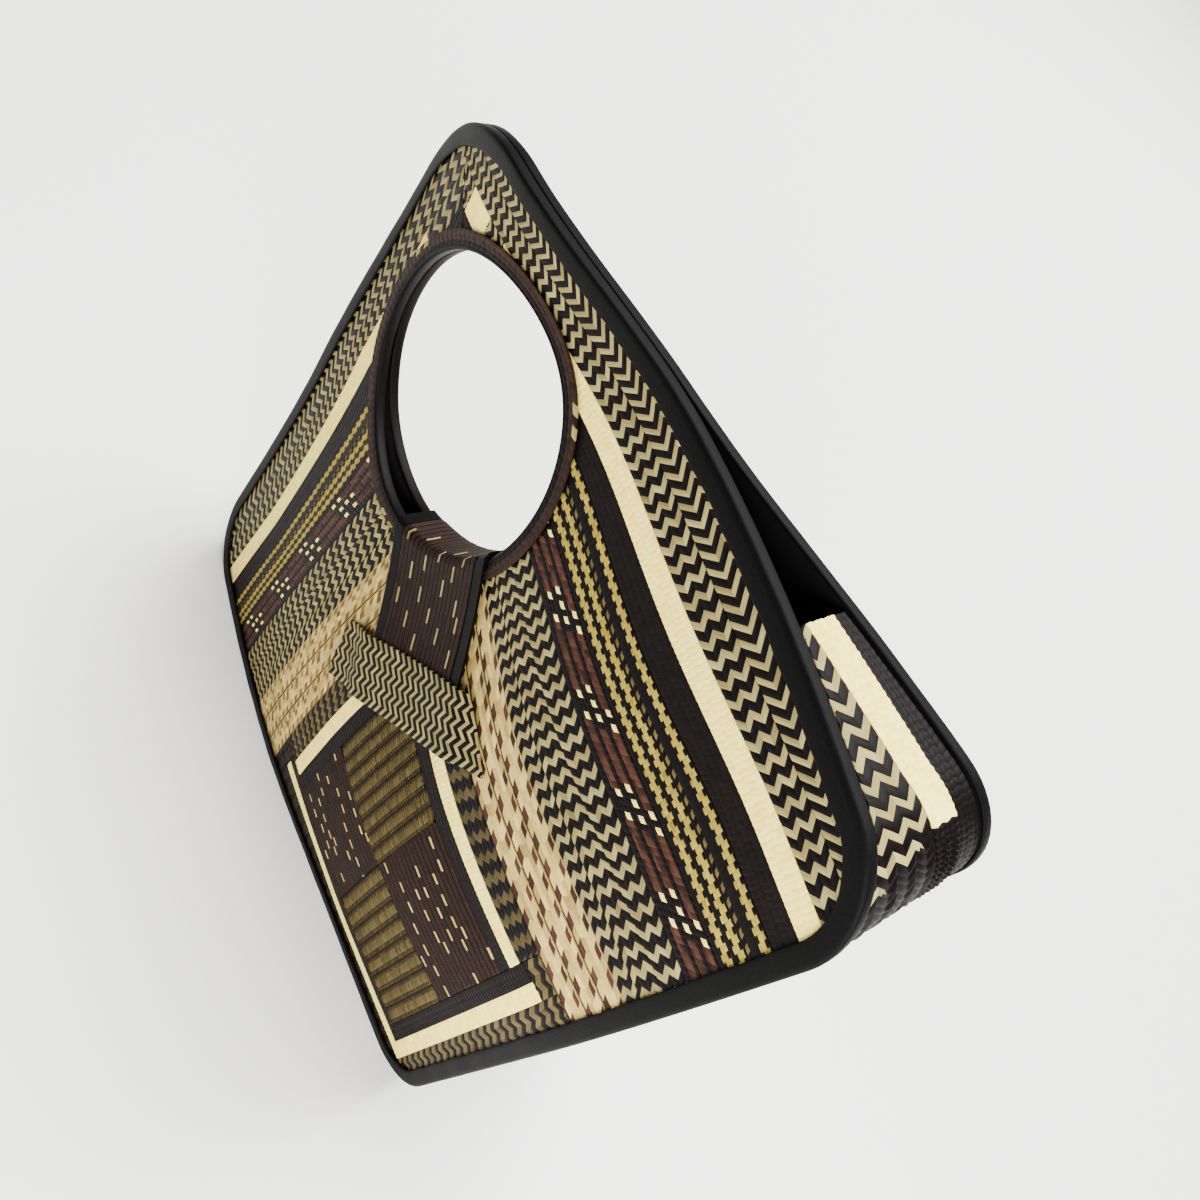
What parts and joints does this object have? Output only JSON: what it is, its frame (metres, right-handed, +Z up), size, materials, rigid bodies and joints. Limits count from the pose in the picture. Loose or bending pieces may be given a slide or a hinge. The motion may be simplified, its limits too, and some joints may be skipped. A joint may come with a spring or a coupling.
{
  "type": "woven handbag",
  "caption": "Flat square handbag of mitred woven cane braids, carried by an oval hand hole in its top corner, with a gusset, bound edges and a closure tab.",
  "frame": {"origin": "on the ground under the middle of the bag's box, as it stands on its lower left edge", "axes": "+Z up, front towards -Y, hand hole at the upper left seen from the front"},
  "size_m": [0.3034, 0.1056, 0.304],
  "materials": {
    "zigzag_braid": "woven cane, black and cream zigzag",
    "cream_braid": "woven cane, natural cream",
    "mustard_braid": "woven cane, mustard and red-brown lines on black",
    "flecked_braid": "woven cane, cream with red-brown flecks",
    "frame_braid": "woven cane, olive zigzag, cream and dark",
    "olive_braid": "woven cane, olive ribs",
    "brown_braid": "woven cane, dark brown with cream dashes",
    "black_cloth": "matt lining cloth",
    "black_tape": "satin leatherette tape"
  },
  "bodies": {
    "root": {"front_right_zigzag_outer": "zigzag_braid", "front_right_cream_dark": "cream_braid", "front_right_mustard_red": "mustard_braid", "front_right_zigzag_inner": "zigzag_braid", "front_right_flecked": "flecked_braid", "front_right_frame_upper": "frame_braid", "front_right_frame_lower": "frame_braid", "front_left_zigzag_outer": "zigzag_braid", "front_left_cream_dark": "cream_braid", "front_left_mustard_red": "mustard_braid", "front_left_zigzag_inner": "zigzag_braid", "front_left_flecked": "flecked_braid", "front_left_frame_upper": "frame_braid", "front_left_frame_lower": "frame_braid", "front_apex_patch": "cream_braid", "front_cell_top": "olive_braid", "front_cell_right": "brown_braid", "front_cell_left": "brown_braid", "front_cell_base": "olive_braid", "front_lining": "black_cloth", "front_binding": "black_tape", "front_hole_trim": "brown_braid", "back_right_zigzag_outer": "zigzag_braid", "back_right_cream_dark": "cream_braid", "back_right_mustard_red": "mustard_braid", "back_right_zigzag_inner": "zigzag_braid", "back_right_flecked": "flecked_braid", "back_right_frame_upper": "frame_braid", "back_right_frame_lower": "frame_braid", "back_left_zigzag_outer": "zigzag_braid", "back_left_cream_dark": "cream_braid", "back_left_mustard_red": "mustard_braid", "back_left_zigzag_inner": "zigzag_braid", "back_left_flecked": "flecked_braid", "back_left_frame_upper": "frame_braid", "back_left_frame_lower": "frame_braid", "back_apex_patch": "cream_braid", "back_cell_top": "olive_braid", "back_cell_right": "brown_braid", "back_cell_left": "brown_braid", "back_cell_base": "olive_braid", "back_lining": "black_cloth", "back_binding": "black_tape", "back_hole_trim": "brown_braid", "gusset_right_zigzag": "zigzag_braid", "gusset_left_zigzag": "zigzag_braid", "gusset_right_cream": "cream_braid", "gusset_left_cream": "cream_braid", "gusset_right_dark": "brown_braid", "gusset_left_dark": "brown_braid", "closure_tab": "brown_braid", "tab_binding_left": "black_tape", "tab_binding_right": "black_tape", "keeper_band": "zigzag_braid"}
  },
  "joints": []
}
